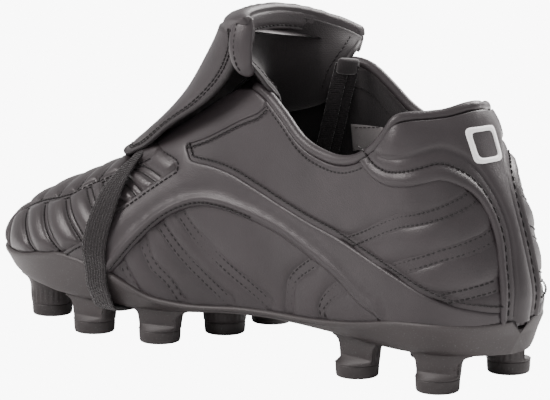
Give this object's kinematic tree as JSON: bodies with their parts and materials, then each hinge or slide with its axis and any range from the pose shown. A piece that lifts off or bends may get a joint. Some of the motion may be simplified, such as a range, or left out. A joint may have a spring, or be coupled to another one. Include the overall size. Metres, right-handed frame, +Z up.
{
  "type": "soccer cleat",
  "caption": "Right soccer boot in dark leather: padded quilted vamp, fold-over tongue flap held by an elastic band, moulded studded sole plate.",
  "frame": {"origin": "on the ground, under the middle of the shoe's length and width", "axes": "+Y from heel to toe, +X towards the outer (lateral) side, +Z up from the stud tips"},
  "size_m": [0.102, 0.3039, 0.1588],
  "materials": {
    "sole_plate": "moulded plastic with a fine pale speckle, matte",
    "stud_tip": "matte, slightly scuffed on the face",
    "shank_steel": "plain strip",
    "board": "plain fibre board",
    "foam": "soft open-cell foam, hidden",
    "sockliner_cloth": "fine knit",
    "upper_leather": "soft coated leather, satin, fine grain",
    "overlay_leather": "smooth coated leather, satin",
    "stiffener": "hidden moulded stiffener",
    "lining_cloth": "brushed textile",
    "binding_tape": "woven tape, matte",
    "lace_braid": "flat braid",
    "aglet_plastic": "glossy sleeve",
    "elastic_webbing": "ribbed woven elastic",
    "label_cloth": "plain woven label, unprinted"
  },
  "bodies": {
    "root": {"outsole": "sole_plate", "heel_stud_bodies": "sole_plate", "forefoot_stud_bodies": "sole_plate", "heel_stud_tips": "stud_tip", "forefoot_stud_tips": "stud_tip", "shank": "shank_steel", "insole_board": "board", "sockliner_foam": "foam", "sockliner_cover": "sockliner_cloth", "vamp": "upper_leather", "vamp_padding": "foam", "toe_puff": "stiffener", "quarter_medial": "upper_leather", "quarter_lateral": "upper_leather", "heel_counter": "stiffener", "collar_padding": "foam", "lining": "lining_cloth", "side_overlay_medial": "overlay_leather", "side_overlay_lateral": "overlay_leather", "eyestay_medial": "overlay_leather", "eyestay_lateral": "overlay_leather", "heel_overlay": "overlay_leather", "collar_binding": "binding_tape", "tongue_leather": "upper_leather", "tongue_padding": "foam", "tongue_lining": "lining_cloth", "lace_rows": "lace_braid", "lace_end_inner": "lace_braid", "lace_end_outer": "lace_braid", "aglets": "aglet_plastic", "elastic_band": "elastic_webbing", "size_label": "label_cloth", "fold_roll": "overlay_leather"},
    "tongue_flap": {"flap_leather": "overlay_leather", "flap_padding": "foam", "flap_lining": "lining_cloth", "flap_binding": "binding_tape"}
  },
  "joints": [
    {"name": "flap_fold", "type": "hinge", "parent": "root", "child": "tongue_flap", "pos_m": [0, -0.007, 0.154], "axis": [1, 0, 0], "range_deg": [0, 100]}
  ]
}
